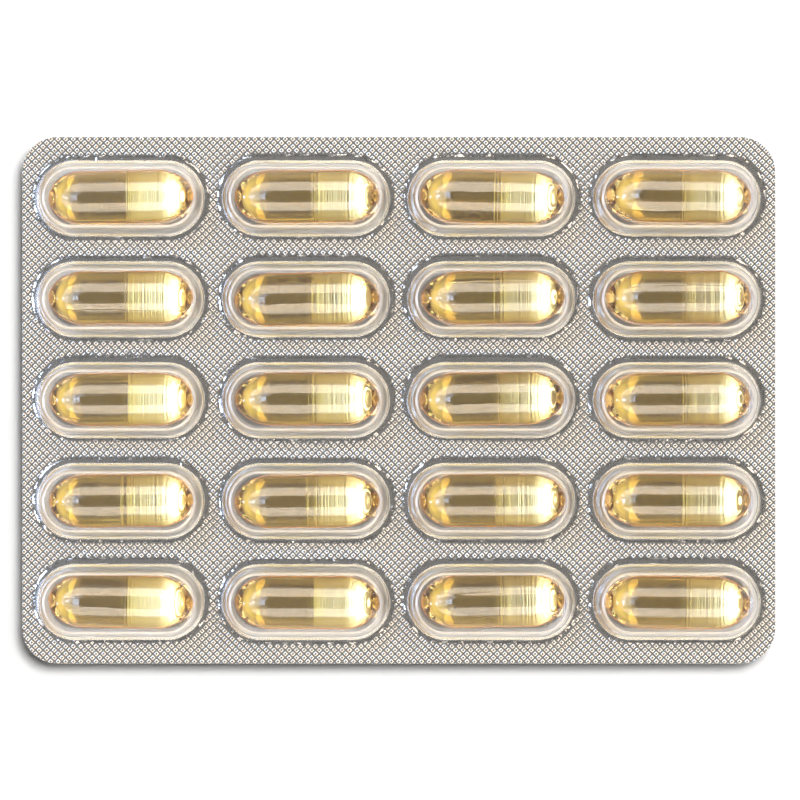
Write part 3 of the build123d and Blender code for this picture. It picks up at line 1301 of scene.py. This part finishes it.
@dataclass
class Capsule:
    """One soft capsule lying in its pocket."""

    row: int
    column: int
    low: Vector
    high: Vector
    taper: float = 0.56
    seam_height: float = 0.03
    seam_width: float = 0.14
    round_steps: int = 72
    end_steps: int = 22
    body_steps: int = 16

    def stations(self, half_length: float, left: float, right: float) -> list[tuple[float, float]]:
        """Places rings along the capsule.

        Args:
            half_length: Half the capsule's length.
            left: The length of its left end.
            right: The length of its right end.

        Returns:
            How far each ring lies from the middle, and its share of the full radius.
        """
        quarter = np.linspace(0, math.pi / 2, self.end_steps + 1)[:-1]
        end = [(math.sin(t), math.cos(t) ** (2 * self.taper)) for t in quarter]
        body_left, body_right = left - half_length, half_length - right
        body = np.linspace(body_left, body_right, self.body_steps + 1)[1:-1]
        placed = [(body_left - left * s, share) for s, share in reversed(end)]
        placed += [(x, 1.0) for x in body]
        return placed + [(body_right + right * s, share) for s, share in end]

    def angles(self) -> list[float]:
        """Angles round the capsule, evenly spread but closer at each of its two seams."""
        even = [k * 2 * math.pi / self.round_steps for k in range(self.round_steps)]
        close = (0.0, 0.016, -0.016, 0.032, -0.032, 0.055, -0.055)
        at_seams = [(side + turn) % (2 * math.pi) for side in (0.0, math.pi) for turn in close]
        return sorted([t for t in even if self.off_seam(t) > 0.08] + at_seams)

    def ring(
        self, x: float, share: float, radius: float, seam: float, wander: float,
    ) -> list[tuple[float, float, float]]:
        """Makes the points of one ring, with its two seam beads.

        Args:
            x: How far the ring lies from the middle.
            share: Its share of the full radius.
            radius: The full radius.
            seam: Where the first seam lies round the capsule.
            wander: Shifts the seam's slow wander.

        Returns:
            The points.
        """
        sway = 0.03 * math.sin(x * 0.35 + wander) + 0.012 * math.sin(x * 1.3 + 2 * wander)
        swell = 1.0 + 0.006 * math.sin(x * 0.5 + wander)
        points = []
        for t in self.angles():
            bead = self.seam_height * math.exp(-((self.off_seam(t) * radius / self.seam_width) ** 2))
            r = radius * share * swell * 0.994 + bead * min(1.0, 3 * share)
            points.append((x, r * math.cos(seam + t + sway), r * math.sin(seam + t + sway)))
        return points

    @staticmethod
    def skin_faces(rings: int, around: int) -> list[tuple[int, ...]]:
        """Joins the rings, and closes both tips.

        Args:
            rings: How many rings there are.
            around: How many points each ring has.

        Returns:
            The faces. The left tip's point comes first, then the rings, then the right tip's point.
        """
        faces: list[tuple[int, ...]] = [(0, 1 + (k + 1) % around, 1 + k) for k in range(around)]
        for s in range(rings - 1):
            for k in range(around):
                a, b = 1 + s * around + k, 1 + s * around + (k + 1) % around
                faces.append((a, b, b + around, a + around))
        end, tip = 1 + (rings - 1) * around, 1 + rings * around
        return faces + [(tip, end + k, end + (k + 1) % around) for k in range(around)]

    def build(self) -> bpy.types.Object:
        """Builds the capsule as one closed form, lying a little askew as it does in its pocket."""
        draw = random.Random(1000 * self.row + self.column)
        centre = (self.low + self.high) / 2 / MM
        half_length = (self.high.x - self.low.x) / 2 / MM * draw.uniform(0.985, 0.998)
        radius = (self.high.z - self.low.z) / 2 / MM * 0.996
        stations = self.stations(half_length, draw.uniform(5.6, 6.5), draw.uniform(5.5, 6.2))
        seam, wander = draw.uniform(0, math.pi), draw.uniform(0, 6)
        points = [(-half_length, 0.0, 0.0)]
        for x, share in stations:
            points += self.ring(x, share, radius, seam, wander)
        points.append((half_length, 0.0, 0.0))
        cloud = np.array(points)
        yaw = math.radians(draw.uniform(-1.3, 1.3))
        shift_x, shift_y = draw.uniform(0.0, 0.25), draw.uniform(0.0, 0.3)
        placed = cloud.copy()
        placed[:, 0] = cloud[:, 0] * math.cos(yaw) - cloud[:, 1] * math.sin(yaw) + centre.x + shift_x
        placed[:, 1] = cloud[:, 0] * math.sin(yaw) + cloud[:, 1] * math.cos(yaw) + centre.y + shift_y
        placed[:, 2] += centre.z
        faces = self.skin_faces(len(stations), len(self.angles()))
        return make_piece(f"softgel_row{self.row}_col{self.column}", placed, faces, 60.0)

    @staticmethod
    def off_seam(turn: float) -> float:
        """The angle from a place round the capsule to the nearer of its two seams."""
        half = turn % math.pi
        return min(half, math.pi - half)


class Lit(Enum):
    """Which surfaces a lamp lights."""

    SHINY = "shiny"
    MATTE = "matte"


@dataclass(frozen=True)
class Softbox:
    """A flat lamp with a white front, aimed at the pack from a metre or two away."""

    name: str
    from_zenith: float
    bearing: float
    distance: float
    size: tuple[float, float]
    radiance: float
    colour: str = "#FFFFFF"
    lit: Lit = Lit.SHINY

    def build(self) -> bpy.types.Object:
        """Hangs the lamp."""
        light = bpy.data.lights.new(self.name, "AREA")
        light.shape = "RECTANGLE"
        light.size, light.size_y = self.size
        light.color = linear_colour(self.colour)[:3]
        light.energy = self.radiance * math.pi * self.size[0] * self.size[1]
        lamp = bpy.data.objects.new(self.name, light)
        down, round_ = math.radians(self.from_zenith), math.radians(self.bearing)
        aim = Vector((math.sin(down) * math.cos(round_), math.sin(down) * math.sin(round_), math.cos(down)))
        lamp.location = aim * self.distance
        lamp.rotation_euler = (-aim).to_track_quat("-Z", "Y").to_euler()
        lamp.visible_camera = False
        lamp.visible_diffuse = self.lit is Lit.MATTE
        lamp.visible_glossy = lamp.visible_transmission = self.lit is Lit.SHINY
        bpy.context.scene.collection.objects.link(lamp)
        return lamp


@dataclass(frozen=True)
class CeilingRing:
    """A ring of the ceiling round the point straight above, with its own brightness."""

    fades_from: float
    full_from: float
    strength: float


@dataclass(frozen=True)
class Studio:
    """The white floor, the lamps, the room's own light and the camera straight above.

    The pack mirrors the ceiling, so the ceiling's rings show as bands in the foil and the
    capsules. The floor lies a little under the pack, as if it stood on low feet, because only
    then does its shadow reach past its edge as the photograph's does.
    """

    camera_height: float = 1.2
    view_width: float = 0.136
    view_centre: tuple[float, float] = (0.0002, 0.00004)
    room_colour: str = "#FFFAF4"
    overhead_strength: float = 0.23
    rings: tuple[CeilingRing, ...] = (
        CeilingRing(6.0, 8.5, 0.12), CeilingRing(15.0, 18.0, 0.46), CeilingRing(22.0, 27.0, 0.36),
    )
    glow_strength: float = 1.45
    glow_from: float = 0.2
    glow_full: float = 0.75
    matte_share: float = 0.2
    floor_half: float = 3000.0
    floor_depth: float = 5.0

    def ceiling(self, tree: Tree, up: Socket) -> Socket:
        """Gives the ceiling's brightness, ring by ring outward from straight above.

        Args:
            tree: The world's node tree.
            up: The upward part of the direction, from 0 to 1.

        Returns:
            The brightness.
        """
        level: float | Socket = self.overhead_strength
        for ring in self.rings:
            level = add_node(tree, "ShaderNodeMapRange", {
                "Value": up, "From Min": math.cos(math.radians(ring.full_from)),
                "From Max": math.cos(math.radians(ring.fades_from)),
                "To Min": ring.strength, "To Max": level,
            }, interpolation_type="SMOOTHSTEP").outputs["Result"]
        return level

    def light_room(self) -> None:
        """Gives the room its own light, with a glow to the right.

        Matte surfaces get only a share of it, so that the key light's shadow stays deep.
        """
        world = bpy.data.worlds.new("studio_room")
        # Nearly every surface lies behind clear film, where aimed light rays are lost, so the
        # room is left to the rays that bounce into it. That saves an eighth of the time.
        world.cycles.sampling_method = "NONE"
        world.use_nodes = True
        tree = world.node_tree
        tree.nodes.clear()
        place = add_node(tree, "ShaderNodeTexCoord")
        parts = add_node(tree, "ShaderNodeSeparateXYZ", {"Vector": place.outputs["Generated"]})
        glow = add_node(tree, "ShaderNodeMapRange", {
            "Value": parts.outputs["X"], "From Min": self.glow_from, "From Max": self.glow_full,
            "To Max": self.glow_strength,
        }, interpolation_type="SMOOTHSTEP")
        both = add_node(tree, "ShaderNodeMath", {
            0: self.ceiling(tree, parts.outputs["Z"]), 1: glow.outputs["Result"],
        }, operation="ADD")
        share = add_node(tree, "ShaderNodeMapRange", {
            "Value": add_node(tree, "ShaderNodeLightPath").outputs["Is Diffuse Ray"],
            "To Min": 1.0, "To Max": self.matte_share,
        })
        seen = add_node(tree, "ShaderNodeMath", {
            0: both.outputs[0], 1: share.outputs["Result"],
        }, operation="MULTIPLY")
        light = add_node(tree, "ShaderNodeBackground", {
            "Color": linear_colour(self.room_colour), "Strength": seen.outputs[0],
        })
        add_node(tree, "ShaderNodeOutputWorld", {"Surface": light.outputs["Background"]})
        bpy.context.scene.world = world

    def lay_floor(self) -> None:
        """Lays the floor under the pack."""
        h = self.floor_half
        corners = np.array([(-h, -h, 0.0), (h, -h, 0.0), (h, h, 0.0), (-h, h, 0.0)])
        floor = make_piece("studio_floor", corners - (0.0, 0.0, self.floor_depth), [(0, 1, 2, 3)], 30.0)
        floor.data.materials.append(MattePaper().material())

    def hang_lamps(self) -> None:
        """Hangs the lamps.

        The two long softboxes draw the pale bands along each capsule. The strips on the left
        light its right half, which faces them by way of the foil. The corner lamps light the
        foil's pyramids, and the spots glint in the film's pips. All these show in shiny
        surfaces only. The key light falls on the floor alone and throws the pack's shadow.
        """
        cream, warm, cool = "#FFF4E6", "#FFEBD8", "#C8DCFF"
        long_side, corner = (3.6, 0.92), (0.55, 0.55)
        lamps = (
            Softbox("softbox_far", 44.5, 90, 1.37, long_side, 5.2, cream),
            Softbox("softbox_near", 44.5, 270, 1.37, long_side, 5.2, cream),
            Softbox("strip_left_high", 22.5, 180, 1.5, (0.50, 0.40), 7.4, cool),
            Softbox("strip_left_low", 50, 180, 1.4, (1.0, 1.15), 7.5, cool),
            Softbox("corner_far_left", 27, 135, 1.6, corner, 2.7, cool),
            Softbox("corner_far_right", 27, 45, 1.6, corner, 1.9, warm),
            Softbox("corner_near_left", 27, 225, 1.6, corner, 1.3, warm),
            Softbox("corner_near_right", 27, 315, 1.6, corner, 1.8, warm),
            Softbox("spot_low", 73, 184, 1.2, (0.14, 0.14), 40.0, warm),
            Softbox("spot_high", 49, 180, 1.25, (0.24, 0.24), 60.0, cool),
            Softbox("key_soft", 17, 52, 1.8, (0.66, 0.66), 24.3, lit=Lit.MATTE),
        )
        for lamp in lamps:
            lamp.build()

    def set_camera(self) -> None:
        """Hangs the camera over the pack, looking straight down."""
        data = bpy.data.cameras.new("camera_above")
        data.sensor_width = 36.0
        data.lens = data.sensor_width * self.camera_height / self.view_width
        data.clip_end = 20.0
        camera = bpy.data.objects.new("camera_above", data)
        camera.location = (*self.view_centre, self.camera_height)
        bpy.context.scene.collection.objects.link(camera)
        bpy.context.scene.camera = camera

    def build(self) -> None:
        """Builds the whole studio."""
        self.light_room()
        self.lay_floor()
        self.hang_lamps()
        self.set_camera()
        bpy.context.scene.view_settings.view_transform = "Standard"


def main() -> None:
    """Builds the pack around the frame, and the studio around the pack."""
    logging.basicConfig(level=logging.INFO, format="%(name)s: %(message)s")
    Studio().build()
    layout = PocketLayout.from_frame()
    foil = LiddingFoil(layout)
    grid = PocketGrid(*layout.pitches(), layout.foot.half_straight)
    sheet = foil.build()
    mount_piece(sheet, RolledFoil(grid).material(), MaterialSlot.LIDDING_FOIL, "lidding_foil")
    sheet.data.materials.append(FoilBack(grid, foil.cell_pitch, 2 * foil.emboss).material())
    film = FormingFilm(layout, top=CAD_BOX[1][2] / MM)
    mount_piece(film.build(), ClearFilm(grid).material(), MaterialSlot.CLEAR_FILM, "forming_film")
    gelatin = SoftGelatin(grid).material()
    for row, column in layout.centres:
        node = f"capsule_row{row}_col{column}"
        low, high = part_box(node)
        mount_piece(Capsule(row, column, low, high).build(), gelatin, MaterialSlot.SOFTGEL, node)


if __name__ == "__main__":
    main()
